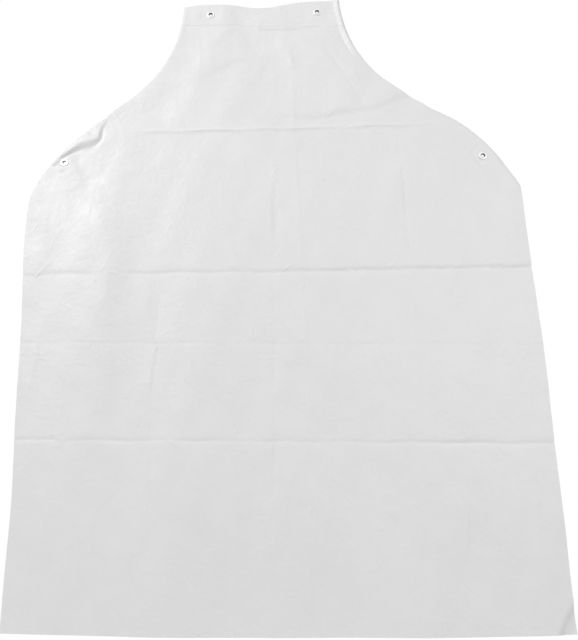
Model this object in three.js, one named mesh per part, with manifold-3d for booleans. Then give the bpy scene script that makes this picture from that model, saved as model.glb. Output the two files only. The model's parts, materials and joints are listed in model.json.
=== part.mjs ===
// Butcher apron: a die-cut sheet of heavy white vinyl film with a bib and a skirt in one, a folded and
// welded hem across the top of the bib, and four metal eyelets for the straps.
// Millimetres. +Z up towards the bib, the front faces -Y, and X runs across the apron.
// The origin is the middle of the waist line, between the two waist eyelets, halfway through the film.
import * as THREE from "three";
import { mergeVertices } from "three/addons/utils/BufferGeometryUtils.js";
import Module from "manifold-3d";

const wasm = await Module();
wasm.setup();

// The cut sheet
const width = 889; // across the skirt
const length = 1143; // from the hem to the top of the bib
const waistAboveHem = 808;
const film = 0.5; // thickness of the vinyl film
const gap = 0.3; // clearance between pieces that touch
const hemZ = -waistAboveHem;
const topZ = length - waistAboveHem;
const halfWidth = width / 2;

// The bib and its armholes
const bibHalfWidth = 152; // at the top
const bibOffset = -12; // the bib stands this far to one side of the skirt's middle
const bibSideZ = 172; // where the bib's nearly straight sides aim before they flare
const armholeX = 296; // where the armhole changes from hollow to round
const armholeZ = 105;
const armholeRun = 30; // how far the curve keeps its slope on each side of that point
const armholeSlope = new THREE.Vector2(Math.sin(0.74), -Math.cos(0.74));
const bibFlare = 9; // how far outside the bib's top corners its nearly straight sides aim
const offsetAtArmhole = 0.8; // share of the bib's offset that is left at the armholes
const roundSideZ = -88; // where the rounded shoulder meets the straight side
const cornerSideZ = -64; // where the other shoulder meets it, in a blunt corner
const roundAim = [halfWidth, 8]; // where each shoulder's curve aims before it reaches the side
const cornerAim = [371, 80];

// The bib folds to the front or the back along the top crease, which is the hinge's axis
const foldZ = 66;
const foldStrip = 6; // height of the strip left open for the bend, where the two panels are parted

// The welded hem along the top of the bib
const hemDepth = { left: 45, right: 59 }; // it was turned down a little askew
const hemInset = 1.2; // the folded layer stops this far inside the bib's edges

// The eyelets: a hole through two layers, a flanged barrel from the front and a washer behind
const holeRadius = 4.1;
const boreRadius = 3;
const barrelRadius = 3.8;
const throatRadius = 4.4; // where the bore opens out into the flange
const flangeRadius = 7.4;
const flangeHeight = 1.0;
const flangeEdge = 0.4; // thickness at the flange's rim
const washerInnerRadius = 4.2;
const washerRadius = 7.0;
const washerHeight = 0.9;
const washerEdge = 0.3;
const rollRadius = 5.4; // the barrel's end, rolled over the washer
const rollHeight = 0.6;
const rollEdge = 0.25;
const bibEyelets = { left: [-112, 316], right: [96, 314] };
const waistEyelets = { left: [-385, 5], right: [383, -4] };

// The reinforcing patches behind the waist eyelets, lying along the armhole's edge
const patchLength = 38;
const patchInboard = 11; // from the eyelet's middle to the patch's inner edge
const patchOutboard = 11; // and to its outer edge
const patchTurn = { left: 0.7, right: -0.63 }; // radians, to lie along the armhole
const patchCorner = 3;

// Curve and circle facets
const curveSteps = 14;
const holeSides = 24;
const latheSides = 28;

const vinyl = new THREE.MeshStandardMaterial({ color: 0xe9e9e9, roughness: 0.38, metalness: 0 });
const vinylBack = new THREE.MeshStandardMaterial({ color: 0xe2e2e2, roughness: 0.5, metalness: 0 });
const nickel = new THREE.MeshStandardMaterial({ color: 0xc8c9ca, roughness: 0.25, metalness: 1 });

const middleY = film / 2;
const secondLayerY = middleY + gap; // front face of whatever lies behind the film
const stackBackY = secondLayerY + film; // back face of the two layers

// One edge of the bib and armhole from the top down, as two Bezier curves that share a slope.
function armholeEdge(side, sideZ, lastAim) {
  const turn = new THREE.Vector2(side * armholeX + bibOffset * offsetAtArmhole, armholeZ);
  const slope = new THREE.Vector2(side * armholeSlope.x, armholeSlope.y);
  const top = new THREE.Vector2(bibOffset + side * bibHalfWidth, topZ);
  const hollow = new THREE.CubicBezierCurve(
    top,
    new THREE.Vector2(top.x + side * bibFlare, bibSideZ),
    turn.clone().addScaledVector(slope, -armholeRun),
    turn,
  );
  const shoulder = new THREE.CubicBezierCurve(
    turn,
    turn.clone().addScaledVector(slope, armholeRun),
    new THREE.Vector2(side * lastAim[0], lastAim[1]),
    new THREE.Vector2(side * halfWidth, sideZ),
  );
  return [...hollow.getPoints(curveSteps), ...shoulder.getPoints(curveSteps).slice(1)];
}

// The left shoulder is rounded, and the right one ends in a blunt corner.
const leftEdge = armholeEdge(-1, roundSideZ, roundAim);
const rightEdge = armholeEdge(1, cornerSideZ, cornerAim);

function circleHole([x, z], radius) {
  const hole = new THREE.Path();
  hole.absarc(x, z, radius, 0, Math.PI * 2, true);
  return hole;
}

// An outline in X and Z, extruded towards +Y from y = front, as a manifold solid.
function plate(outline, holes, front) {
  const shape = new THREE.Shape(outline);
  shape.holes.push(...holes.map((at) => circleHole(at, holeRadius)));
  const geometry = new THREE.ExtrudeGeometry(shape, {
    depth: film,
    bevelEnabled: false,
    curveSegments: holeSides,
  });
  geometry.rotateX(Math.PI / 2); // shape Y becomes Z, and the depth runs towards -Y
  geometry.translate(0, front + film, 0);
  return solidFrom(geometry);
}

function solidFrom(geometry) {
  geometry.deleteAttribute("normal");
  geometry.deleteAttribute("uv");
  const merged = mergeVertices(geometry, 1e-4);
  return new wasm.Manifold(
    new wasm.Mesh({
      numProp: 3,
      vertProperties: merged.attributes.position.array,
      triVerts: new Uint32Array(merged.index.array),
    }),
  );
}

function geometryFrom(solid) {
  const mesh = solid.getMesh();
  const geometry = new THREE.BufferGeometry();
  geometry.setAttribute("position", new THREE.BufferAttribute(mesh.vertProperties, 3));
  geometry.setIndex(new THREE.BufferAttribute(mesh.triVerts, 1));
  geometry.computeVertexNormals();
  return geometry;
}

// A box over the whole width of the apron between two heights, to part the sheet with.
function slab(lowZ, highZ) {
  const box = new THREE.BoxGeometry(width + 20, 40, highZ - lowZ);
  box.translate(0, 0, (lowZ + highZ) / 2);
  return solidFrom(box);
}

const apron = new THREE.Group();

function addNode(name, geometry, material) {
  const mesh = new THREE.Mesh(geometry, material);
  mesh.name = name;
  apron.add(mesh);
  return mesh;
}

// The sheet, parted at the crease that the bib folds down along
function buildSheet() {
  const outline = [
    new THREE.Vector2(-halfWidth, hemZ),
    new THREE.Vector2(halfWidth, hemZ),
    ...rightEdge.toReversed(),
    ...leftEdge,
  ];
  const holes = [...Object.values(bibEyelets), ...Object.values(waistEyelets)];
  const sheet = plate(outline, holes, -middleY);
  const skirt = sheet.intersect(slab(hemZ - 10, foldZ - foldStrip / 2));
  const bib = sheet.intersect(slab(foldZ + foldStrip / 2, topZ + 10));
  addNode("skirt_panel", geometryFrom(skirt), vinyl);
  addNode("bib_panel", geometryFrom(bib), vinyl);
}

// The top of the sheet folded to the back: a second layer, a little narrower than the bib
function buildBibHem() {
  const cornerAt = (edge, depth, inset) => {
    const z = topZ - depth;
    const below = edge.findIndex((p) => p.y <= z);
    const [a, b] = [edge[below - 1], edge[below]];
    return new THREE.Vector2(a.x + ((b.x - a.x) * (a.y - z)) / (a.y - b.y) + inset, z);
  };
  const outline = [
    cornerAt(leftEdge, hemDepth.left, hemInset),
    cornerAt(rightEdge, hemDepth.right, -hemInset),
    new THREE.Vector2(rightEdge[0].x - hemInset, topZ),
    new THREE.Vector2(leftEdge[0].x + hemInset, topZ),
  ];
  const hem = plate(outline, Object.values(bibEyelets), secondLayerY);
  addNode("bib_hem", geometryFrom(hem), vinylBack);
}

// One patch: a strip with clipped corners behind an eyelet, parallel to the armhole's edge there
function buildPatch(side, [x, z]) {
  const out = side === "left" ? -1 : 1;
  const [inner, outer] = [-out * patchInboard, out * patchOutboard];
  const [lowX, highX] = [Math.min(inner, outer), Math.max(inner, outer)];
  const end = patchLength / 2;
  const corners = [
    [lowX + patchCorner, -end],
    [highX - patchCorner, -end],
    [highX, -end + patchCorner],
    [highX, end - patchCorner],
    [highX - patchCorner, end],
    [lowX + patchCorner, end],
    [lowX, end - patchCorner],
    [lowX, -end + patchCorner],
  ];
  const middle = new THREE.Vector2(x, z);
  const turn = -patchTurn[side];
  const outline = corners.map(([u, v]) =>
    new THREE.Vector2(u, v).rotateAround(new THREE.Vector2(), turn).add(middle),
  );
  addNode(`waist_patch_${side}`, geometryFrom(plate(outline, [[x, z]], secondLayerY)), vinylBack);
}

// A ring turned about the eyelet's own axis, from a closed section of radius and Y.
function ring(section, [x, z]) {
  const points = [...section, section[0]].map(([radius, y]) => new THREE.Vector2(radius, y));
  const geometry = new THREE.LatheGeometry(points, latheSides);
  geometry.translate(x, 0, z);
  return geometryFrom(solidFrom(geometry));
}

function buildEyelet(place, at) {
  const seat = -middleY - gap; // underside of the flange
  const crown = seat - flangeHeight;
  const washerSeat = stackBackY + gap;
  const washerBack = washerSeat + washerHeight;
  const rollSeat = washerBack + gap;
  const rollBack = rollSeat + rollHeight;
  const throatDepth = throatRadius - boreRadius;
  const barrel = [
    [boreRadius, crown + throatDepth],
    [throatRadius, crown],
    [flangeRadius - flangeHeight, crown],
    [flangeRadius, seat - flangeEdge],
    [flangeRadius, seat],
    [barrelRadius, seat],
    [barrelRadius, rollSeat],
    [rollRadius, rollSeat],
    [rollRadius, rollSeat + rollEdge],
    [barrelRadius, rollBack],
    [boreRadius, rollBack - rollEdge],
  ];
  const washer = [
    [washerInnerRadius, washerSeat],
    [washerRadius, washerSeat],
    [washerRadius, washerSeat + washerEdge],
    [rollRadius, washerBack],
    [washerInnerRadius, washerBack],
  ];
  addNode(`eyelet_${place}`, ring(barrel, at), nickel);
  addNode(`washer_${place}`, ring(washer, at), nickel);
}

buildSheet();
buildBibHem();
for (const [side, at] of Object.entries(waistEyelets)) buildPatch(side, at);
for (const [side, at] of Object.entries(bibEyelets)) buildEyelet(`bib_${side}`, at);
for (const [side, at] of Object.entries(waistEyelets)) buildEyelet(`waist_${side}`, at);

export default apron;
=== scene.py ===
import json
import math

import bpy
import numpy as np
from mathutils import Matrix, Vector


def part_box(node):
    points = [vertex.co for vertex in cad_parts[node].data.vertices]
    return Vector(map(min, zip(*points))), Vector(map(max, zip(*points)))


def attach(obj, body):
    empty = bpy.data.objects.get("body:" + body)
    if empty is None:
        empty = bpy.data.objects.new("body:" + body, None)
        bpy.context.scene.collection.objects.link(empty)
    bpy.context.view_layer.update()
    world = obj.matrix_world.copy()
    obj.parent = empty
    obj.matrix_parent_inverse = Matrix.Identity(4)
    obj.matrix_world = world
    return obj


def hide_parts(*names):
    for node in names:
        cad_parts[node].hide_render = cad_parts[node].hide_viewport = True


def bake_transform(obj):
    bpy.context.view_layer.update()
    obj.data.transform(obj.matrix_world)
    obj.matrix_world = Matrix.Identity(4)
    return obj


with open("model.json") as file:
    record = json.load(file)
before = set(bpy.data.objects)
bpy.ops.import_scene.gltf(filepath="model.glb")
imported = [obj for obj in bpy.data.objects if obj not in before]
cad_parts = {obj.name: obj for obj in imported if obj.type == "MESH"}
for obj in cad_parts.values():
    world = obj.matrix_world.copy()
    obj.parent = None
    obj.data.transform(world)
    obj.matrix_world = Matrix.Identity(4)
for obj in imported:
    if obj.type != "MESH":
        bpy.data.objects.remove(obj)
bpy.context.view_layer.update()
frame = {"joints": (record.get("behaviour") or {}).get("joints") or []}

# ---- The cut of the sheet
# One piece of heavy white vinyl film, half a millimetre thick, die-cut with the bib and the skirt in one.
# The cut edges are bare. The bib stands a little to the left, and only the left shoulder is rounded.

skirt_low, skirt_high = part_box("skirt_panel")
_, bib_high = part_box("bib_panel")
half_width = skirt_high.x
hem_z = skirt_low.z
top_z = bib_high.z
film = 0.0005

bib_offset = -0.012
bib_half_width = 0.152
bib_side_z = 0.172
armhole_x = 0.296
armhole_z = 0.105
armhole_run = 0.03
armhole_lean = 0.74
offset_at_armhole = 0.8
bib_flare = 0.009
round_side_z = -0.088
corner_side_z = -0.064


def bezier(a, b, c, d, steps=80):
    """Points from a to d that set out towards b and arrive from c: a and d weighted by the cube of how near
    they are, b and c by three times the square of the nearer share times the other share."""
    t = np.linspace(0, 1, steps)[:, None]
    return (1 - t) ** 3 * a + 3 * (1 - t) ** 2 * t * b + 3 * (1 - t) * t**2 * c + t**3 * d


def armhole(side, aim, side_z):
    """One edge, from the straight side up to the bib's top: a round curve and a hollow one that share a
    slope."""
    turn = np.array([side * armhole_x + bib_offset * offset_at_armhole, armhole_z])
    slope = np.array([side * math.sin(armhole_lean), -math.cos(armhole_lean)])
    top = np.array([bib_offset + side * bib_half_width, top_z])
    bib_aim = np.array([top[0] + side * bib_flare, bib_side_z])
    hollow = bezier(top, bib_aim, turn - armhole_run * slope, turn)
    shoulder = bezier(turn, turn + armhole_run * slope, aim, np.array([side * half_width, side_z]))
    return np.concatenate([hollow, shoulder[1:]])[::-1]


left_armhole = armhole(-1, np.array([-half_width, 0.008]), round_side_z)
right_armhole = armhole(1, np.array([0.371, 0.080]), corner_side_z)


def hump(distance, width):
    """One at no distance, falling off on both sides as a bell does, to about a third at width."""
    return np.exp(-((distance / width) ** 2))


def left_edge(z):
    """The left edge: the cut, drawn in beside the waist eyelet, bowed out below the shoulder and in again
    three quarters of the way down the skirt."""
    cut = np.interp(z, left_armhole[:, 1], left_armhole[:, 0])
    return cut + 0.0075 * hump(z - 0.05, 0.075) - 0.0055 * hump(z + 0.15, 0.11) + 0.0035 * hump(z + 0.6, 0.09)


def right_edge(z):
    """The right edge: the cut, bowed out half way down and in above the hem."""
    cut = np.interp(z, right_armhole[:, 1], right_armhole[:, 0])
    return cut + 0.003 * hump(z + 0.365, 0.12) - 0.002 * hump(z + 0.745, 0.06)


def hem_line(x):
    """The bottom edge, hanging lowest a little right of the middle and drawn up towards both corners."""
    rise = np.where(x < 0.06, 0.0099 * ((x - 0.06) / 0.504) ** 2, 0.0028 * ((x - 0.06) / 0.384) ** 2)
    return hem_z - 0.0022 + rise


def top_line(x):
    """The top edge, which sags between its two eyelets and drops at the left corner."""
    return top_z + 0.005 - 0.0115 * hump(x + 0.008, 0.05) - 0.006 * hump(x + 0.17, 0.022)


# ---- The lines the sheet was folded along
# It was packed folded across and lengthwise, and each fold has left a crease. The grid of the sheet follows
# these lines, so that each of them has its own row or column of close-set points.

low_crease = [(-0.455, -0.5016), (0.455, -0.5212)]
middle_crease = [(-0.455, -0.3365), (0.455, -0.3573)]
waist_crease = [(-0.455, -0.2125), (-0.133, -0.2150), (0.0, -0.2168), (0.217, -0.2172), (0.455, -0.2192)]
bib_crease = [
    (-0.40, 0.0650), (-0.115, 0.0630), (0.096, 0.0625), (0.194, 0.0632), (0.264, 0.0640), (0.34, 0.0668),
]
weld_line = [
    (-0.17, 0.2910), (-0.114, 0.2895), (-0.04, 0.2880), (0.0, 0.2835), (0.06, 0.2815), (0.15, 0.2780),
]

left_fold = [
    (-0.216, -0.83), (-0.214, -0.44), (-0.206, -0.24), (-0.205, 0.0), (-0.16, 0.105), (-0.11, 0.2),
    (-0.095, 0.36),
]
centre_fold = [
    (-0.02, -0.83), (-0.018, -0.666), (-0.009, -0.51), (-0.002, -0.27), (-0.003, 0.058), (-0.012, 0.2),
    (-0.02, 0.36),
]
second_fold = [
    (0.047, -0.83), (0.047, -0.512), (0.052, -0.351), (0.046, -0.216), (0.041, 0.275), (0.04, 0.36),
]
right_fold = [
    (0.288, -0.83), (0.288, -0.757), (0.298, -0.634), (0.259, -0.561), (0.241, -0.354), (0.235, -0.211),
    (0.236, -0.088), (0.232, 0.03), (0.19, 0.105), (0.12, 0.2), (0.098, 0.36),
]

edge_band = 0.06
crease_band = 0.006


def across(points, shift=0.0):
    """A guide for rows: the height of a line at each x, moved up by shift."""
    x, z = np.array(points).T
    return lambda at: np.interp(at, x, z) + shift


def upright(points, shift=0.0):
    """A guide for columns: the x of a line at each height, moved right by shift, less so where the sheet
    narrows."""
    x, z = np.array(points).T
    return lambda at: np.interp(at, z, x) + shift * (right_edge(at) - left_edge(at)) / (2 * half_width)


def level(z):
    """A guide for rows: one height all the way across."""
    return lambda at: np.full_like(at, z)


turn_radius = 0.0009
weld_band = 0.005

# Each guide comes with the number of steps from the guide before it.
columns = [
    (left_edge, 0),
    (lambda z: left_edge(z) + edge_band * (right_edge(z) - left_edge(z)) / (2 * half_width), 20),
    (upright(left_fold, -crease_band), 25),
    (upright(left_fold, crease_band), 6),
    (upright(centre_fold, -crease_band), 28),
    (upright(centre_fold, crease_band), 6),
    (upright(second_fold, -crease_band), 7),
    (upright(second_fold, crease_band), 6),
    (upright(right_fold, -crease_band), 26),
    (upright(right_fold, crease_band), 6),
    (lambda z: right_edge(z) - edge_band * (right_edge(z) - left_edge(z)) / (2 * half_width), 21),
    (right_edge, 20),
]
rows = [
    (hem_line, 0),
    (across(low_crease, -0.008), 38),
    (across(low_crease, 0.008), 8),
    (across(middle_crease, -crease_band), 21),
    (across(middle_crease, crease_band), 6),
    (across(waist_crease, -0.009), 17),
    (across(waist_crease, 0.009), 10),
    (level(-0.024), 26),
    (level(0.024), 20),
    (across(bib_crease, -0.012), 9),
    (across(bib_crease, 0.010), 19),
    (level(0.13), 15),
    (across(weld_line, -weld_band), 26),
    (across(weld_line, weld_band), 9),
    (level(0.3), 3),
    (level(0.329), 12),
    (lambda x: top_line(x) - turn_radius, 3),
]


def between(guides, at):
    """Lines in equal steps between neighbouring guides. Each guide comes with the number of steps up to it,
    and at holds, for every line, the other coordinate of its points."""
    lines, first = [], 0
    for (low, _), (high, steps) in zip(guides, guides[1:]):
        share = (np.arange(steps) / steps)[:, None]
        here = at[first : first + steps]
        lines.append(low(here) * (1 - share) + high(here) * share)
        first += steps
    return np.concatenate([*lines, guides[-1][0](at[first:])])


row_count = sum(steps for _, steps in rows) + 1
column_count = sum(steps for _, steps in columns) + 1
sheet_z = between(rows, np.zeros((row_count, column_count)))
sheet_x = between(columns, sheet_z.T).T
sheet_z = between(rows, sheet_x)
sheet_x = between(columns, sheet_z.T).T

# ---- How the sheet lies
# It hangs almost flat. The packing creases have relaxed into soft ridges and grooves, the film is drawn into
# a fold beside the left eyelet, the bib's right edge is rolled forward and the bottom right corner bent back.

eyelets = {}
for place in ("bib_left", "bib_right", "waist_left", "waist_right"):
    low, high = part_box("eyelet_" + place)
    eyelets[place] = np.array([(low.x + high.x) / 2, (low.z + high.z) / 2])
flange_radius = (high.x - low.x) / 2
patch_half_length = 0.019
patch_half_width = 0.011
patch_corner = 0.003
patch_turn = {"waist_left": 0.70, "waist_right": -0.63}
seat_radius = 0.019
fold_axis_z = frame["joints"][0]["pos_m"][2]


def smooth(share):
    """Nought to one, level at both ends: three times the square less twice the cube."""
    share = np.clip(share, 0, 1)
    return share * share * (3 - 2 * share)


def from_line(x, z, points):
    """How far each place is from a line of straight runs, positive on its left as it is walked, how far along
    the line the nearest place is, and the line's whole length."""
    nearest = np.full(np.shape(x), np.inf)
    signed, along, walked = np.zeros_like(nearest), np.zeros_like(nearest), 0.0
    for start, end in zip(points, points[1:]):
        run = np.subtract(end, start)
        length = np.hypot(*run)
        share = np.clip(((x - start[0]) * run[0] + (z - start[1]) * run[1]) / length**2, 0, 1)
        off_x, off_z = x - start[0] - share * run[0], z - start[1] - share * run[1]
        distance = np.hypot(off_x, off_z)
        closer = distance < nearest
        side = np.where(run[0] * off_z - run[1] * off_x < 0, -1, 1)
        nearest = np.where(closer, distance, nearest)
        signed = np.where(closer, side * distance, signed)
        along = np.where(closer, walked + share * length, along)
        walked += length
    return signed, along, walked


def crease(x, z, points, depth, width, step=0.0, fade=0.03, uneven=0.35, tone=0.0):
    """A relaxed fold: deepest on its line, falling off to each side as a dying exponential with its tip
    rounded off, plus a step from one side to the other. It fades at its ends, wanders a little to both sides,
    and is uneven along its length. Depth is positive for a groove and negative for a ridge."""
    side, along, whole = from_line(x, z, points)
    side = side + 0.35 * width * np.sin(61 * along + 5 * tone)
    tip = 0.3 * width
    fall = np.exp((tip - np.sqrt(side**2 + tip**2)) / width)
    rise = np.tanh(side / width) * np.exp(-np.abs(side) / (12 * width))
    ends = smooth(along / fade) * smooth((whole - along) / fade)
    strength = 1 + uneven * (0.6 * np.sin(43 * along + tone) + 0.4 * np.sin(101 * along + 2.3 * tone))
    return ends * strength * (depth * fall - step * rise / 2)


def swells(x, z):
    """Broad slow waves: a long ridge below the left eyelet with a valley beside it, flutes that grow towards
    the hem, a hollow low in the middle, a slow ripple on the bib and low rumples everywhere."""
    across_ridge = np.where(x < -0.305, hump(x + 0.305, 0.075), hump(x + 0.305, 0.036))
    ridge = -0.0062 * across_ridge * hump(z + 0.24, 0.22) * smooth((-0.02 - z) / 0.11)
    valley = 0.0018 * hump(x + 0.215, 0.05) * hump(z + 0.05, 0.12)
    down = smooth((0.05 - z) / 0.85)
    flutes = down * (0.0026 * np.sin(15.0 * x + 0.6) + 0.0012 * np.sin(31.0 * x - 3.0 * z + 2.0))
    hollow = 0.0060 * hump(x + 0.07, 0.17) * hump(z + 0.80, 0.11)
    ripple = 0.0010 * np.sin(24.0 * x + 5.0 * z) + 0.0005 * np.sin(66.0 * x - 30.0 * z)
    bib = ripple * smooth((z - 0.02) / 0.12) * smooth((0.33 - z) / 0.08)
    rumples = 0.0005 * np.sin(71.0 * x + 23.0 * z + 1.3) * np.sin(57.0 * z - 13.0 * x)
    return ridge + valley + flutes + hollow + bib + rumples


fold_lines = [
    # line, depth, width, step, fade, unevenness, tone
    (low_crease, 0.00090, 0.0026, 0.0006, 0.02, 0.35, 0.3),
    ([(0.15, -0.5148), (0.455, -0.5212)], 0.00100, 0.0034, 0.0002, 0.08, 0.3, 1.3),
    (middle_crease, 0.00045, 0.0026, 0.0002, 0.02, 0.5, 0.9),
    ([(-0.50, -0.2125), (-0.31, -0.2140)], 0.00080, 0.0040, 0.0006, 0.03, 0.2, 2.0),
    (
        [(-0.29, -0.2140), (-0.133, -0.2150), (0.0, -0.2168), (0.217, -0.2172), (0.52, -0.2192)],
        0.00120, 0.0036, 0.0010, 0.05, 0.25, 2.0,
    ),
    ([(-0.05, -0.2168), (0.217, -0.2172), (0.58, -0.2192)], 0.00080, 0.0034, 0.0010, 0.12, 0.2, 0.7),
    (
        [(-0.28, 0.0650), (-0.115, 0.0630), (0.096, 0.0625), (0.194, 0.0632), (0.264, 0.0640),
         (0.337, 0.0668)],
        -0.00150, 0.0020, -0.0003, 0.10, 0.3, 0.2,
    ),
    (
        [(-0.28, 0.0650), (-0.115, 0.0630), (0.096, 0.0625), (0.337, 0.0650)],
        -0.00080, 0.0060, 0.0, 0.14, 0.3, 0.2,
    ),
    (
        [(0.010, 0.055), (0.010, -0.002), (0.001, -0.082), (-0.001, -0.159), (-0.008, -0.215)],
        0.00050, 0.0034, -0.0011, 0.07, 0.5, 1.1,
    ),
    ([(-0.002, -0.22), (-0.009, -0.51), (-0.018, -0.666)], 0.00045, 0.0030, -0.0006, 0.05, 0.8, 1.1),
    (
        [(0.041, 0.275), (0.046, -0.216), (0.052, -0.351), (0.047, -0.512), (0.047, -0.629)],
        -0.00036, 0.0028, -0.0003, 0.05, 0.7, 0.4,
    ),
    ([(0.232, 0.052), (0.236, -0.088), (0.235, -0.211)], 0.00060, 0.0030, -0.0009, 0.05, 0.6, 2.2),
    (
        [(0.235, -0.22), (0.241, -0.354), (0.259, -0.561), (0.298, -0.634), (0.288, -0.757)],
        0.00040, 0.0030, -0.0005, 0.05, 0.9, 2.2,
    ),
    (
        [(-0.205, -0.238), (-0.207, -0.354), (-0.214, -0.44), (-0.214, -0.603), (-0.216, -0.717)],
        0.00050, 0.0032, -0.0005, 0.08, 0.9, 0.7,
    ),
    (
        [(-0.214, -0.222), (-0.215, -0.283), (-0.211, -0.328), (-0.207, -0.37)],
        0.00050, 0.0036, -0.0012, 0.06, 0.4, 0.7,
    ),
    ([(-0.134, 0.282), (-0.134, 0.149)], -0.00024, 0.003, 0.0, 0.03, 0.5, 0.1),
    ([(-0.408, -0.07), (-0.40, -0.215)], 0.00050, 0.004, 0.0, 0.04, 0.5, 0.8),
    ([(-0.406, -0.261), (-0.414, -0.35), (-0.43, -0.437)], -0.00080, 0.0045, 0.0, 0.05, 0.5, 1.8),
    ([(0.164, -0.615), (0.125, -0.741)], -0.00070, 0.0055, 0.0, 0.04, 0.4, 2.8),
    ([(0.086, -0.748), (0.052, -0.805)], -0.00070, 0.0055, 0.0, 0.02, 0.4, 0.5),
    (
        [(0.092, 0.256), (0.111, 0.228), (0.134, 0.191), (0.164, 0.128), (0.185, 0.1)],
        0.00110, 0.0040, -0.0008, 0.03, 0.4, 0.6,
    ),
    (
        [(-0.071, 0.345), (-0.063, 0.29), (-0.046, 0.269), (-0.022, 0.215)],
        0.00060, 0.0130, -0.0044, 0.02, 0.3, 1.5,
    ),
    (
        [(0.018, 0.345), (0.029, 0.326), (0.028, 0.28), (0.023, 0.249), (0.036, 0.226), (0.05, 0.19)],
        -0.00150, 0.0050, 0.0, 0.01, 0.4, 2.5,
    ),
    (
        [(0.005, 0.097), (0.046, 0.083), (0.087, 0.085), (0.115, 0.089), (0.182, 0.098), (0.217, 0.108),
         (0.29, 0.135)],
        0.00120, 0.0052, 0.0030, 0.03, 0.2, 3.1,
    ),
    ([(-0.30, 0.094), (-0.25, 0.105), (-0.20, 0.115)], 0.00060, 0.0050, 0.0, 0.03, 0.4, 3.3),
]


eyelet_fold_line = [
    (-0.412, -0.010), (-0.400, 0.003), (-0.394, 0.012), (-0.384, 0.0195), (-0.371, 0.027), (-0.358, 0.0335),
    (-0.343, 0.0375), (-0.328, 0.043), (-0.320, 0.052), (-0.3175, 0.07), (-0.313, 0.082), (-0.304, 0.097),
]
fold_branch = [(-0.366, 0.032), (-0.358, 0.007), (-0.352, -0.016), (-0.340, -0.05)]
fold_tucks = [
    [(-0.400, -0.002), (-0.388, -0.014)],
    [(-0.396, -0.018), (-0.384, -0.033)],
    [(-0.376, -0.010), (-0.371, -0.024)],
]


def eyelet_fold(x, z):
    """The film drawn up beside the left eyelet: the strip outside the fold stands forward of the film inside
    it, by a bank that is steep near the eyelet, broad in the middle, and steep again up the short branch."""
    side, along, whole = from_line(x, z, eyelet_fold_line)
    walk = along / whole
    bank = 0.0017 + 0.0066 * hump(walk - 0.52, 0.16)
    height = 0.0042 * smooth(walk / 0.10) * smooth((1 - walk) / 0.25) * (0.8 + 0.5 * hump(walk - 0.5, 0.2))
    lift = -height * smooth(0.5 + (side - 0.3 * bank) / (2 * bank)) * np.exp(-np.clip(side, 0, 1) / 0.09)
    groove = 0.25 * height * hump(side + 0.4 * bank, bank)
    trailing = crease(x, z, fold_branch, 0.0011, 0.007, -0.0016, 0.02, 0.2)
    tucks = sum(crease(x, z, tuck, -0.0008, 0.0022, 0.0, 0.006, 0.0) for tuck in fold_tucks)
    return lift + groove + trailing + tucks


def edge_curls(x, z):
    """The bib's right edge rolled forward in a narrow strip, its left edge a little, the edge at the right
    shoulder turned back, and the bottom right corner bent back beyond its crease."""
    from_right = right_edge(z) - x
    tall = smooth((z - 0.20) / 0.06)
    strip = -0.0026 * tall * (smooth(1 - (from_right - 0.003) / 0.011) - 0.85 * hump(from_right, 0.0024))
    foot = 0.0008 * smooth((z - 0.20) / 0.03) * smooth((0.285 - z) / 0.03) * hump(from_right - 0.0145, 0.0035)
    armhole_turn = 0.0012 * hump(from_right, 0.004) * smooth((z + 0.09) / 0.03) * smooth((0.02 - z) / 0.04)
    from_left = x - left_edge(z)
    left = -0.0007 * smooth((z - 0.24) / 0.03) * hump(from_left - 0.004, 0.005)
    side, along, _ = from_line(x, z, [(0.452, -0.752), (0.440, -0.765), (0.415, -0.804), (0.408, -0.815)])
    beyond = np.clip(side, 0, 1)
    corner = 0.0052 * (1 - np.exp(-beyond / 0.0065)) - 0.0007 * hump(side + 0.002, 0.004)
    corner = corner * smooth(along / 0.015) * smooth((x - 0.38) / 0.03) * smooth((-0.72 - z) / 0.03)
    return strip + foot + armhole_turn + left + corner


draw = np.random.default_rng(11)


def crumple_lines():
    """Short creases scattered over the sheet, most of them close beside the lengthwise folds: for each its
    middle, direction, half length, depth and width."""
    beside = [(np.interp(z, *np.array(line).T[::-1]), z)
              for line, low, high, many in ((left_fold, -0.72, -0.1, 16), (centre_fold, -0.7, 0.06, 26),
                                            (second_fold, -0.65, 0.26, 30), (right_fold, -0.7, 0.05, 30))
              for z in draw.uniform(low, high, many)]
    beside = np.array(beside) + draw.normal(0, 0.018, (len(beside), 2))
    anywhere = np.stack([draw.uniform(-0.42, 0.42, 260), draw.uniform(-0.79, -0.03, 260)], 1)
    on_bib = np.stack([draw.uniform(-0.17, 0.16, 60), draw.uniform(0.08, 0.30, 60)], 1)
    middle = np.concatenate([beside, anywhere, on_bib])
    many = len(middle)
    angle = draw.uniform(0, math.pi, many)
    half_length = draw.uniform(0.008, 0.034, many)
    depth = draw.uniform(-0.0004, 0.0004, many)
    width = np.where(middle[:, 1] > 0.07, draw.uniform(0.003, 0.006, many), draw.uniform(0.0055, 0.010, many))
    return zip(middle, angle, half_length, depth, width)


crumples = list(crumple_lines())


def crumpling(x, z):
    """The short creases together, each a bell across and a longer bell along its own direction."""
    total = np.zeros_like(x)
    for (at_x, at_z), angle, half_length, depth, width in crumples:
        near = (np.abs(x - at_x) < 2.5 * half_length) & (np.abs(z - at_z) < 2.5 * half_length)
        off_x, off_z = x[near] - at_x, z[near] - at_z
        along = off_x * math.cos(angle) + off_z * math.sin(angle)
        aside = off_z * math.cos(angle) - off_x * math.sin(angle) + 5.0 * along**2 * np.sign(depth)
        total[near] += depth * hump(along, half_length) * hump(aside, width)
    return total


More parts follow.
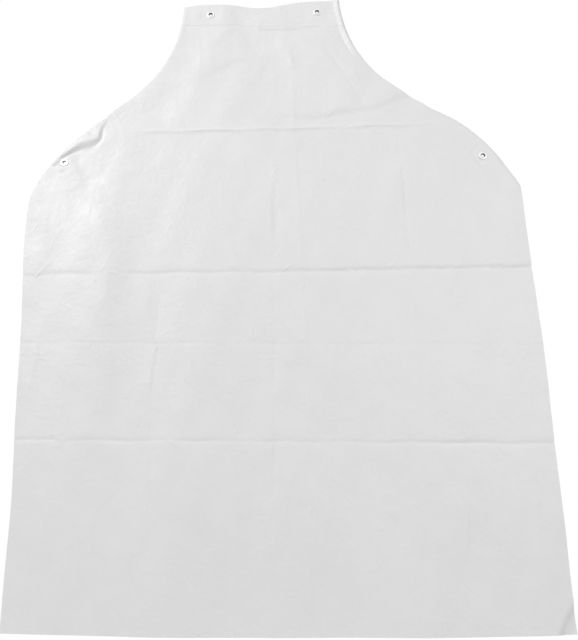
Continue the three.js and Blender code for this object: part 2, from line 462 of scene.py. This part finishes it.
def weld(x, z):
    """The heat weld that holds the hem: a narrow groove, doubled and puckered in the middle of the bib."""
    side, _, _ = from_line(x, z, weld_line)
    puckered = smooth((x + 0.03) / 0.02) * smooth((0.068 - x) / 0.015)
    single = hump(side, 0.0016)
    double = hump(side - 0.0006, 0.0013) + hump(side + 0.0052, 0.0013) - 0.9 * hump(side + 0.0022, 0.0016)
    pucker = 0.0006 * np.sin(x / 0.0026) * hump(side, 0.005) * hump(x + 0.018, 0.012)
    turned = 0.0003 * smooth(0.5 + side / 0.003) * smooth((0.03 - side) / 0.03)
    return 0.0007 * single * (1 - puckered) + 0.0006 * double * puckered + pucker - turned


def eyelet_pucker(x, z, centre, folds, tone):
    """Fine tucks that run out from an eyelet, and a shallow ring where its flange presses the film in."""
    off_x, off_z = x - centre[0], z - centre[1]
    radius, angle = np.hypot(off_x, off_z), np.arctan2(off_z, off_x)
    ring = smooth((radius - flange_radius * 0.95) / 0.002) * smooth((0.019 - radius) / 0.008)
    tucks = np.sin(folds * angle + tone) * 0.6 + np.sin((folds + 4) * angle + 2 * tone) * 0.4
    return ring * (0.00022 * tucks - 0.00035)


def patch_outline(x, z, place):
    """How far each place is outside a waist patch's straight-edged outline, negative inside it."""
    turn = patch_turn[place]
    off_x, off_z = x - eyelets[place][0], z - eyelets[place][1]
    inboard = (off_x * math.cos(turn) - off_z * math.sin(turn)) * (1 if place == "waist_left" else -1)
    lengthwise = off_x * math.sin(turn) + off_z * math.cos(turn)
    return np.maximum(np.abs(inboard) - patch_half_width, np.abs(lengthwise) - patch_half_length)


right_patch_edge = [(0.361, 0.008), (0.382, -0.025)]


def lie(x, z):
    """How far the sheet's middle stands behind the flat plane it hangs in: the swells, folds and creases
    together, held flat under each eyelet, with each waist patch's outline showing through."""
    seats = np.ones_like(x)
    for centre in eyelets.values():
        distance = np.hypot(x - centre[0], z - centre[1])
        seats = seats * (1 - np.exp(-((distance / seat_radius) ** 4)))
    calm = 0.25 + 0.75 * (1 - hump(z - fold_axis_z, 0.02))
    total = swells(x, z) * calm
    for line, depth, width, step, fade, uneven, tone in fold_lines:
        total = total + crease(x, z, line, depth, width, step, fade, uneven, tone)
    total = (total + crumpling(x, z) + edge_curls(x, z)) * seats + weld(x, z)
    left_x, left_z = eyelets["waist_left"]
    off_eyelet = smooth((np.hypot(x - left_x, z - left_z) - 0.0078) / 0.004)
    total = total + eyelet_fold(x, z) * off_eyelet
    for (place, centre), folds, tone in zip(eyelets.items(), (11, 9, 9, 9), (0.4, 1.7, 2.9, 0.9)):
        total = total + eyelet_pucker(x, z, centre, folds, tone)
    for place, strength in (("waist_left", 0.0003), ("waist_right", 0.0008)):
        total = total + strength * hump(patch_outline(x, z, place) - 0.0008, 0.0021)
    return total + crease(x, z, right_patch_edge, 0.0011, 0.0026, -0.0009, 0.004, 0.1)


# ---- The sheet and its top hem
# The top of the film is turned to the back in a soft roll, and its free edge is welded down all the way
# across. The film's glossy side is in front, so on the turned layer it faces back.

layer_gap = 0.00056
hem_inset = 0.0012


def hem_gap(x, z):
    """How far the turned layer's middle lies behind the front layer's: pressed together at the weld and at
    the eyelets, and open like the lip of a pocket elsewhere, widest at the turn."""
    side, _, _ = from_line(x, z, weld_line)
    rise = smooth(side / 0.02)
    for place in ("bib_left", "bib_right"):
        distance = np.hypot(x - eyelets[place][0], z - eyelets[place][1])
        rise = rise * smooth((distance - 0.008) / 0.011)
    at_turn = smooth((z - top_line(x) + 0.008) / 0.007)
    return layer_gap + (2 * turn_radius - layer_gap) * np.maximum(0.55 * rise, at_turn)


front = np.stack([sheet_x, lie(sheet_x, sheet_z), sheet_z], 2)
roll_rows = 5
round_roll = (np.arange(1, roll_rows + 1) / (roll_rows + 1) * math.pi)[:, None]
lip = front[-1]
roll = np.stack(
    [
        np.broadcast_to(lip[:, 0], (roll_rows, column_count)),
        lip[:, 1] + turn_radius * (1 - np.cos(round_roll)),
        lip[:, 2] + turn_radius * np.sin(round_roll),
    ],
    2,
)
rows_below_weld = 8
rows_above_weld = sum(steps for _, steps in rows[-3:])
hem_first = row_count - 1 - rows_above_weld - rows_below_weld
turned_x, turned_z = sheet_x[hem_first:][::-1], sheet_z[hem_first:][::-1]
below_top = np.clip((top_line(turned_x) - turned_z) / 0.03, 0, 1)
from_left, from_right = turned_x - left_edge(turned_z), right_edge(turned_z) - turned_x
turned_x = turned_x + hem_inset * below_top * (hump(from_left, 0.008) - hump(from_right, 0.008))
turned = np.stack([turned_x, lie(turned_x, turned_z) + hem_gap(turned_x, turned_z), turned_z], 2)
grid = np.concatenate([front, roll, turned])
all_rows = len(grid)
walked = np.concatenate([
    sheet_z,
    lip[:, 2] + turn_radius * np.broadcast_to(round_roll, (roll_rows, column_count)),
    2 * lip[:, 2] + turn_radius * math.pi - turned_z,
])
cloth_uv = np.stack([grid[..., 0], walked], 2).reshape(-1, 2)

numbers = np.arange(all_rows * column_count).reshape(all_rows, column_count)
cells = np.stack([numbers[:-1, :-1], numbers[:-1, 1:], numbers[1:, 1:], numbers[1:, :-1]], 2)
kept = np.ones(cells.shape[:2], bool)
points, uvs, faces = [grid.reshape(-1, 3)], [cloth_uv], []

hole_radius = 0.0041
ring_shares = np.array([0.0, 0.12, 0.26, 0.44, 0.66])


def punch(centre, first_row, last_row, turned_layer):
    """A punched hole: the cells about it give way to rings of points that run from the hole's circle out to
    the border of those cells, each point on the straight line towards the hole's middle."""
    here = grid[first_row : last_row + 1]
    off_x, off_z = np.abs(here[..., 0] - centre[0]), np.abs(here[..., 2] - centre[1])
    close = (off_x < 0.0130) & (off_z < 0.0125)
    in_rows, in_columns = first_row + np.nonzero(close.any(1))[0], np.nonzero(close.any(0))[0]
    low_i, high_i, low_j, high_j = in_rows[0], in_rows[-1], in_columns[0], in_columns[-1]
    kept[low_i:high_i, low_j:high_j] = False
    border = np.concatenate([
        numbers[low_i, low_j:high_j], numbers[low_i:high_i, high_j],
        numbers[high_i, high_j:low_j:-1], numbers[high_i:low_i:-1, low_j],
    ])
    outer = grid.reshape(-1, 3)[border][:, [0, 2]]
    spokes = outer - centre
    inner = centre + spokes * (hole_radius / np.hypot(*spokes.T))[:, None]
    share = ring_shares[:, None, None]
    plan = inner * (1 - share) + outer * share
    ring_x, ring_z = plan[..., 0], plan[..., 1]
    ring_y = lie(ring_x, ring_z) + (hem_gap(ring_x, ring_z) if turned_layer else 0)
    start = sum(len(p) for p in points)
    points.append(np.stack([ring_x, ring_y, ring_z], 2).reshape(-1, 3))
    v = (2 * lip[:, 2].mean() + turn_radius * math.pi - ring_z) if turned_layer else ring_z
    uvs.append(np.stack([ring_x, v], 2).reshape(-1, 2))
    loops = np.concatenate([start + np.arange(ring_x.size).reshape(ring_x.shape), border[None]])
    following = np.roll(loops, -1, 1)
    faces.append(np.stack([loops[1:], following[1:], following[:-1], loops[:-1]], 2).reshape(-1, 4))


for place, centre in eyelets.items():
    punch(centre, 0, row_count - 1, False)
    if place.startswith("bib"):
        punch(centre, row_count + roll_rows, all_rows - 1, True)
faces = np.concatenate([cells[kept].reshape(-1, 4), *faces])
points, uvs = np.concatenate(points), np.concatenate(uvs)


def film_shell(points, faces, thickness):
    """A closed film about a surface: every point pushed half the thickness out along the surface's own
    normal, the same pushed in and turned over, and a strip of rim wherever only one face meets an edge."""
    corner = points[faces]
    face_normal = np.cross(corner[:, 2] - corner[:, 0], corner[:, 3] - corner[:, 1])
    normal = np.zeros_like(points)
    for k in range(4):
        np.add.at(normal, faces[:, k], face_normal)
    normal /= np.linalg.norm(normal, axis=1)[:, None]
    many = len(points)
    edges = np.concatenate([faces[:, [k, (k + 1) % 4]] for k in range(4)])
    rim = edges[~np.isin(edges[:, 0] * many + edges[:, 1], edges[:, 1] * many + edges[:, 0])]
    both = np.concatenate([points + normal * thickness / 2, points - normal * thickness / 2])
    strip = np.stack([rim[:, 1], rim[:, 0], rim[:, 0] + many, rim[:, 1] + many], 1)
    return both, [faces, faces[:, ::-1] + many, strip]


def add_film(name, points, uvs, faces, thickness):
    """A film piece as a mesh: its shell, its own map in metres, its front and rim in slot 0 and back in 1."""
    used, faces = np.unique(faces, return_inverse=True)
    faces = faces.reshape(-1, 4)
    both, sides = film_shell(points[used], faces, thickness)
    mesh = bpy.data.meshes.new(name)
    every = np.concatenate(sides)
    mesh.from_pydata(both, [], every)
    flat_uv = np.concatenate([uvs[used]] * 2)[every.ravel()]
    mesh.uv_layers.new(name="film").data.foreach_set("uv", flat_uv.astype(np.float32).ravel())
    slots = np.repeat([0, 1, 0], [len(s) for s in sides])
    mesh.polygons.foreach_set("material_index", slots.astype(np.int32))
    mesh.polygons.foreach_set("use_smooth", np.ones(len(every), bool))
    mesh.update()
    ends = np.zeros(2 * len(mesh.edges), np.int32)
    mesh.edges.foreach_get("vertices", ends)
    ends = np.sort(ends.reshape(-1, 2), 1)
    rim = sides[2]
    cut = np.sort(np.concatenate([rim[:, [0, 1]], rim[:, [2, 3]]]), 1)
    sharp = np.isin(ends[:, 0] * len(both) + ends[:, 1], cut[:, 0] * len(both) + cut[:, 1])
    mesh.attributes.new("sharp_edge", "BOOLEAN", "EDGE").data.foreach_set("value", sharp)
    piece = bpy.data.objects.new(name, mesh)
    bpy.context.scene.collection.objects.link(piece)
    return piece, used


sheet, used = add_film("vinyl_sheet", points, uvs, faces, film)

# ---- The vinyl's finish
# Calendered white vinyl: glossy enough to show soft sheens, with a fine pebble embossed by the roller,
# small wrinkles from packing, and faint whitening where it has been bent. The back is duller.


def nodes_of(material):
    """The material's own node tree and the shader in it."""
    material.use_nodes = True
    tree = material.node_tree
    return tree, tree.nodes["Principled BSDF"]


def add_node(tree, kind, **settings):
    """A node of that kind. A setting named set_... is one of its properties, one named with an underscore and
    a number is the input of that number, and any other is the input of that name."""
    node = tree.nodes.new(kind)
    for key, value in settings.items():
        if key.startswith("set_"):
            setattr(node, key[4:], value)
        elif key[0] == "_":
            node.inputs[int(key[1:])].default_value = value
        else:
            node.inputs[key.replace("_", " ")].default_value = value
    return node


def vinyl_finish(name, colour, roughness, pebble, wrinkle):
    """Vinyl film: a mottled colour, patchy roughness, an embossed pebble and a net of faint wrinkles that
    comes and goes, all laid out on the film's own map."""
    material = bpy.data.materials.new(name)
    tree, shader = nodes_of(material)
    link = tree.links.new
    own = add_node(tree, "ShaderNodeUVMap", set_uv_map="film")
    handled = add_node(tree, "ShaderNodeAttribute", set_attribute_name="handled")

    cloud = add_node(tree, "ShaderNodeTexNoise", Scale=7.0, Detail=5.0, Roughness=0.6)
    link(own.outputs["UV"], cloud.inputs["Vector"])
    tint = add_node(tree, "ShaderNodeMapRange", From_Min=0.3, From_Max=0.7, To_Min=0.975, To_Max=1.0)
    link(cloud.outputs["Fac"], tint.inputs["Value"])
    white = add_node(tree, "ShaderNodeMix", set_data_type="RGBA", set_blend_type="MULTIPLY")
    white.inputs[0].default_value = 1.0
    white.inputs[6].default_value = (*colour, 1.0)
    link(tint.outputs["Result"], white.inputs[7])
    stress = add_node(tree, "ShaderNodeMix", set_data_type="RGBA")
    stress.inputs[7].default_value = (0.93, 0.93, 0.93, 1.0)
    stressed = add_node(tree, "ShaderNodeMath", set_operation="MULTIPLY", _1=0.06)
    link(handled.outputs["Fac"], stressed.inputs[0])
    link(stressed.outputs[0], stress.inputs[0])
    link(white.outputs[2], stress.inputs[6])
    link(stress.outputs[2], shader.inputs["Base Color"])

    patch = add_node(tree, "ShaderNodeTexNoise", Scale=18.0, Detail=4.0, Roughness=0.55)
    link(own.outputs["UV"], patch.inputs["Vector"])
    dull = add_node(tree, "ShaderNodeMapRange", From_Min=0.3, From_Max=0.7)
    dull.inputs["To Min"].default_value = roughness - 0.05
    dull.inputs["To Max"].default_value = roughness + 0.07
    link(patch.outputs["Fac"], dull.inputs["Value"])
    duller = add_node(tree, "ShaderNodeMath", set_operation="MULTIPLY_ADD", _1=0.12)
    link(handled.outputs["Fac"], duller.inputs[0])
    link(dull.outputs["Result"], duller.inputs[2])
    link(duller.outputs[0], shader.inputs["Roughness"])

    bend = add_node(tree, "ShaderNodeTexNoise", Scale=9.0, Detail=3.0)
    link(own.outputs["UV"], bend.inputs["Vector"])
    warp = add_node(tree, "ShaderNodeMix", set_data_type="VECTOR", _0=0.06)
    link(own.outputs["UV"], warp.inputs[4])
    link(bend.outputs["Color"], warp.inputs[5])
    net = add_node(tree, "ShaderNodeTexVoronoi", set_feature="DISTANCE_TO_EDGE", Scale=24.0)
    link(warp.outputs[1], net.inputs["Vector"])
    line = add_node(tree, "ShaderNodeMapRange", From_Min=0.0, From_Max=0.10, To_Min=1.0, To_Max=0.0)
    line.interpolation_type = "SMOOTHSTEP"
    link(net.outputs["Distance"], line.inputs["Value"])
    comes = add_node(tree, "ShaderNodeMapRange", From_Min=0.5, From_Max=0.66)
    comes.interpolation_type = "SMOOTHSTEP"
    link(patch.outputs["Fac"], comes.inputs["Value"])
    faint = add_node(tree, "ShaderNodeMath", set_operation="MULTIPLY_ADD", _1=0.30, _2=0.12)
    link(handled.outputs["Fac"], faint.inputs[0])
    masked = add_node(tree, "ShaderNodeMath", set_operation="MULTIPLY")
    link(line.outputs["Result"], masked.inputs[0])
    link(comes.outputs["Result"], masked.inputs[1])
    wrinkles = add_node(tree, "ShaderNodeMath", set_operation="MULTIPLY")
    link(masked.outputs[0], wrinkles.inputs[0])
    link(faint.outputs[0], wrinkles.inputs[1])

    ripple = add_node(tree, "ShaderNodeTexNoise", Scale=46.0, Detail=5.0, Roughness=0.62)
    link(own.outputs["UV"], ripple.inputs["Vector"])
    waves = add_node(tree, "ShaderNodeBump", Strength=1.0, Distance=wrinkle)
    link(ripple.outputs["Fac"], waves.inputs["Height"])
    creases = add_node(tree, "ShaderNodeBump", Strength=1.0, Distance=wrinkle * 1.2)
    link(wrinkles.outputs[0], creases.inputs["Height"])
    link(waves.outputs["Normal"], creases.inputs["Normal"])
    grain = add_node(tree, "ShaderNodeTexVoronoi", Scale=700.0)
    link(own.outputs["UV"], grain.inputs["Vector"])
    emboss = add_node(tree, "ShaderNodeBump", Strength=1.0, Distance=pebble)
    link(grain.outputs["Distance"], emboss.inputs["Height"])
    link(creases.outputs["Normal"], emboss.inputs["Normal"])
    link(emboss.outputs["Normal"], shader.inputs["Normal"])
    return material


vinyl_film = vinyl_finish("vinyl film", (0.86, 0.86, 0.862), 0.40, 0.00002, 0.0013)
vinyl_back = vinyl_finish("vinyl back", (0.82, 0.82, 0.818), 0.58, 0.00004, 0.0013)

fold_x, fold_z = points[used][:, 0], points[used][:, 2]
handled = np.zeros(len(used))
for line, depth, *_ in fold_lines:
    side, _, _ = from_line(fold_x, fold_z, line)
    handled = np.maximum(handled, min(1.0, abs(depth) / 0.0008) * np.exp(-np.abs(side) / 0.014))
for centre in eyelets.values():
    handled = np.maximum(handled, 0.6 * hump(np.hypot(fold_x - centre[0], fold_z - centre[1]), 0.03))
handled_both_faces = np.tile(handled, 2).astype(np.float32)
sheet.data.attributes.new("handled", "FLOAT", "POINT").data.foreach_set("value", handled_both_faces)
sheet.data.materials.append(vinyl_film)
sheet.data.materials.append(vinyl_back)

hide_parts("skirt_panel", "bib_panel", "bib_hem")
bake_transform(sheet)

# ---- The waist patches
# A strip of the same film is welded behind each waist eyelet, where the tie pulls. It lies along the
# armhole's edge, has clipped corners, and follows the sheet in front of it.


def waist_patch(place):
    """A strip worked out in rings, from its punched hole out to a straight-sided outline with clipped
    corners, turned to lie along the armhole and laid against the back of the sheet."""
    turn, centre = patch_turn[place], eyelets[place]
    facing = 1 if place == "waist_left" else -1
    ring = np.linspace(0, 2 * math.pi, 64, endpoint=False)
    cosine, sine = np.cos(ring), np.sin(ring)
    to_side = patch_half_width / np.maximum(np.abs(cosine), 1e-9)
    to_end = patch_half_length / np.maximum(np.abs(sine), 1e-9)
    to_corner = (patch_half_width + patch_half_length - patch_corner) / (np.abs(cosine) + np.abs(sine))
    clipped = np.minimum(np.minimum(to_side, to_end), to_corner)
    outline = np.stack([clipped * cosine, clipped * sine], 1)
    toward = np.arctan2(outline[:, 1], outline[:, 0])
    circle = hole_radius * np.stack([np.cos(toward), np.sin(toward)], 1)
    share = np.linspace(0, 1, 9)[:, None, None]
    own = circle * (1 - share) + outline * share
    inboard, lengthwise = own[..., 0] * facing, own[..., 1]
    x = centre[0] + inboard * math.cos(turn) + lengthwise * math.sin(turn)
    z = centre[1] - inboard * math.sin(turn) + lengthwise * math.cos(turn)
    y = lie(x, z) + layer_gap
    points = np.stack([x, y, z], 2).reshape(-1, 3)
    order = np.arange(x.size).reshape(x.shape)
    following = np.roll(order, -1, 1)
    faces = np.stack([order[:-1], order[1:], following[1:], following[:-1]], 2).reshape(-1, 4)
    corner = points[faces]
    if np.cross(corner[:, 1] - corner[:, 0], corner[:, 2] - corner[:, 0])[:, 1].sum() > 0:
        faces = faces[:, ::-1]
    patch, _ = add_film("welded_patch_" + place[6:], points, np.stack([x, z], 2).reshape(-1, 2), faces, film)
    patch.data.attributes.new("handled", "FLOAT", "POINT")
    patch.data.materials.append(vinyl_film)
    patch.data.materials.append(vinyl_back)
    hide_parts("waist_patch_" + place[6:])
    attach(patch, "skirt")
    return patch


patches = [waist_patch(place) for place in ("waist_left", "waist_right")]

# ---- The eyelets
# Each is a stamped brass eyelet, nickel plated: a flanged barrel pushed through from the front, with a
# washer behind it, over which the barrel's end is rolled.


def plated(name, low, high, polished):
    """Metal between two tones in small clouds, its polish uneven in the same clouds and finely scuffed."""
    material = bpy.data.materials.new(name)
    tree, shader = nodes_of(material)
    link = tree.links.new
    place = add_node(tree, "ShaderNodeTexCoord")
    shader.inputs["Metallic"].default_value = 1.0
    cloud = add_node(tree, "ShaderNodeTexNoise", Scale=420.0, Detail=4.0)
    link(place.outputs["Object"], cloud.inputs["Vector"])
    tint = add_node(tree, "ShaderNodeMix", set_data_type="RGBA")
    tint.inputs[6].default_value = (*low, 1.0)
    tint.inputs[7].default_value = (*high, 1.0)
    link(cloud.outputs["Fac"], tint.inputs[0])
    link(tint.outputs[2], shader.inputs["Base Color"])
    polish = add_node(tree, "ShaderNodeMapRange", From_Min=0.3, From_Max=0.7, To_Min=polished)
    polish.inputs["To Max"].default_value = polished + 0.16
    link(cloud.outputs["Fac"], polish.inputs["Value"])
    link(polish.outputs["Result"], shader.inputs["Roughness"])
    scuff = add_node(tree, "ShaderNodeBump", Strength=0.4, Distance=0.00002)
    link(cloud.outputs["Fac"], scuff.inputs["Height"])
    link(scuff.outputs["Normal"], shader.inputs["Normal"])
    return material


nickel = plated("nickel plate", (0.76, 0.756, 0.742), (0.86, 0.856, 0.845), 0.28)
# The bore's finish is near-black metal, painted shade for the dark inside of each eyelet's hole; its higher
# roughness is the plating's real dullness there.
bore_painted_shade = plated("bore painted dark as shade", (0.10, 0.098, 0.094), (0.17, 0.165, 0.158), 0.42)
bore_rim = 0.0043
ring_steps = 72


def turned_ring(name, section, centre, body, node):
    """A ring turned about the eyelet's axis from a closed section of radius and depth, in millimetres, with
    its faces turned outward. The faces inside the bore take a near-black metal finish: painted shade for the
    dark inside of the hole, on plating that is also duller there."""
    section = np.array(section) / 1000
    angle = np.linspace(0, 2 * math.pi, ring_steps, endpoint=False)[:, None]
    radius, y = section[:, 0], section[:, 1]
    x = centre[0] + np.cos(angle) * radius
    z = centre[1] + np.sin(angle) * radius
    points = np.stack([x, np.broadcast_to(y, x.shape), z], 2).reshape(-1, 3)
    order = np.arange(x.size).reshape(x.shape)
    down, over = np.roll(order, -1, 1), np.roll(order, -1, 0)
    faces = np.stack([order, down, np.roll(down, -1, 0), over], 2).reshape(-1, 4)
    turn = (radius * np.roll(y, -1) - np.roll(radius, -1) * y).sum()
    if turn < 0:
        faces = faces[:, ::-1]
    mesh = bpy.data.meshes.new(name)
    mesh.from_pydata(points, [], faces)
    mesh.polygons.foreach_set("use_smooth", np.ones(len(faces), bool))
    mesh.update()
    piece = bpy.data.objects.new(name, mesh)
    bpy.context.scene.collection.objects.link(piece)
    mesh.materials.append(nickel)
    mesh.materials.append(bore_painted_shade)
    # Faces inside the bore take the second slot, the near-black finish that paints the shade inside the hole.
    middle = np.hypot(points[faces][..., 0] - centre[0], points[faces][..., 2] - centre[1]).mean(1)
    mesh.polygons.foreach_set("material_index", (middle < bore_rim).astype(np.int32))
    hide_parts(node)
    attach(piece, body)
    return piece


def arc(radius, y, reach, start, end, steps=6):
    """Points on a round corner of a section, from one angle to another, in degrees."""
    angle = np.radians(np.linspace(start, end, steps))
    return [(radius + reach * math.cos(a), y + reach * math.sin(a)) for a in angle]


barrel = [
    *arc(4.45, 0.05, 1.45, 182, 262, 10),
    *arc(6.3, -1.02, 0.30, 265, 290, 3),
    *arc(6.85, -0.78, 0.5, 300, 375, 6),
    (7.35, -0.29),
    (3.85, -0.29),
    (3.85, 1.80),
    *arc(4.9, 2.30, 0.5, -80, 80, 7),
    *arc(4.1, 1.70, 1.1, 92, 178, 7),
]
washer = [(4.15, 0.86), (6.7, 0.86), *arc(6.6, 1.2, 0.35, -40, 80, 6), (5.4, 1.72), (4.15, 1.76)]
for place, centre in eyelets.items():
    body = "bib" if place.startswith("bib") else "skirt"
    turned_ring("nickel_eyelet_" + place, barrel, centre, body, "eyelet_" + place)
    turned_ring("nickel_washer_" + place, washer, centre, body, "washer_" + place)

# ---- The room
# A pale floor well below the hem, soft light from the upper left and in front, and a camera that looks up
# at the apron from below its middle.

floor_z = hem_z - 0.5
floor_radius = 2.1
spokes, hoops = 96, 24
reach = np.linspace(0, 1, hoops + 1)[1:, None] * floor_radius
round_floor = np.linspace(0, 2 * math.pi, spokes, endpoint=False)
disc = np.stack(
    [reach * np.cos(round_floor), reach * np.sin(round_floor), np.full((hoops, spokes), floor_z)], 2
)
order = np.arange(hoops * spokes).reshape(hoops, spokes) + 1
following = np.roll(order, -1, 1)
bands = np.stack([order[:-1], order[1:], following[1:], following[:-1]], 2).reshape(-1, 4)
middle = [(0, int(a), int(b)) for a, b in zip(order[0], following[0])]
floor_mesh = bpy.data.meshes.new("floor")
floor_points = [(0, 0, floor_z), *map(tuple, disc.reshape(-1, 3))]
floor_mesh.from_pydata(floor_points, [], [*middle, *map(tuple, bands.tolist())])
floor = bpy.data.objects.new("floor", floor_mesh)
bpy.context.scene.collection.objects.link(floor)
plain = bpy.data.materials.new("pale floor")
_, floor_shader = nodes_of(plain)
floor_shader.inputs["Base Color"].default_value = (0.86, 0.86, 0.86, 1.0)
floor_shader.inputs["Roughness"].default_value = 0.8
floor_mesh.materials.append(plain)

room = bpy.data.worlds.new("room")
bpy.context.scene.world = room
room.use_nodes = True
tree = room.node_tree
soft = tree.nodes["Background"]
soft.inputs["Color"].default_value = (1.0, 1.0, 1.0, 1.0)
soft.inputs["Strength"].default_value = 0.355
seen = add_node(tree, "ShaderNodeBackground", Strength=1.0)
seen.inputs["Color"].default_value = (1.0, 1.0, 1.0, 1.0)
path = add_node(tree, "ShaderNodeLightPath")
either = add_node(tree, "ShaderNodeMixShader")
toward = add_node(tree, "ShaderNodeTexCoord")
height = add_node(tree, "ShaderNodeSeparateXYZ")
tree.links.new(toward.outputs["Generated"], height.inputs[0])
above = add_node(tree, "ShaderNodeMapRange", From_Min=-0.3, From_Max=0.5)
tree.links.new(height.outputs["Z"], above.inputs["Value"])
mirrored = add_node(tree, "ShaderNodeMath", set_operation="MULTIPLY")
tree.links.new(path.outputs["Is Glossy Ray"], mirrored.inputs[0])
tree.links.new(above.outputs["Result"], mirrored.inputs[1])
shown = add_node(tree, "ShaderNodeMath", set_operation="MAXIMUM")
tree.links.new(path.outputs["Is Camera Ray"], shown.inputs[0])
tree.links.new(mirrored.outputs[0], shown.inputs[1])
tree.links.new(shown.outputs[0], either.inputs[0])
tree.links.new(soft.outputs[0], either.inputs[1])
tree.links.new(seen.outputs[0], either.inputs[2])
tree.links.new(either.outputs[0], tree.nodes["World Output"].inputs["Surface"])


def soft_light(name, at, toward, size, power):
    """A square area light of that size and power at one place, facing another."""
    light = bpy.data.lights.new(name, "AREA")
    light.size = size
    light.energy = power
    lamp = bpy.data.objects.new(name, light)
    bpy.context.scene.collection.objects.link(lamp)
    away = Vector(at) - Vector(toward)
    lamp.matrix_world = Matrix.Translation(at) @ away.to_track_quat("Z", "Y").to_matrix().to_4x4()


soft_light("key", (-1.7, -2.1, 1.5), (0.0, 0.0, -0.2), 1.1, 51)
soft_light("fill", (1.3, -1.6, 0.0), (0.1, 0.0, -0.1), 1.2, 8)
soft_light("behind", (0.9, 1.9, 0.9), (0.0, 0.0, -0.2), 1.6, 18)

view = bpy.data.cameras.new("camera")
view.sensor_width = 36.0
view.lens = 37.24
view.shift_x = 0.0844
camera = bpy.data.objects.new("camera", view)
bpy.context.scene.collection.objects.link(camera)
camera.matrix_world = (
    Matrix.Translation((-0.037, -1.107, -0.590))
    @ Matrix.Rotation(math.radians(1.97), 4, "Z")
    @ Matrix.Rotation(math.radians(0.67), 4, "Y")
    @ Matrix.Rotation(math.radians(90 + 14.5), 4, "X")
)
bpy.context.scene.camera = camera
bpy.context.scene.view_settings.view_transform = "Standard"
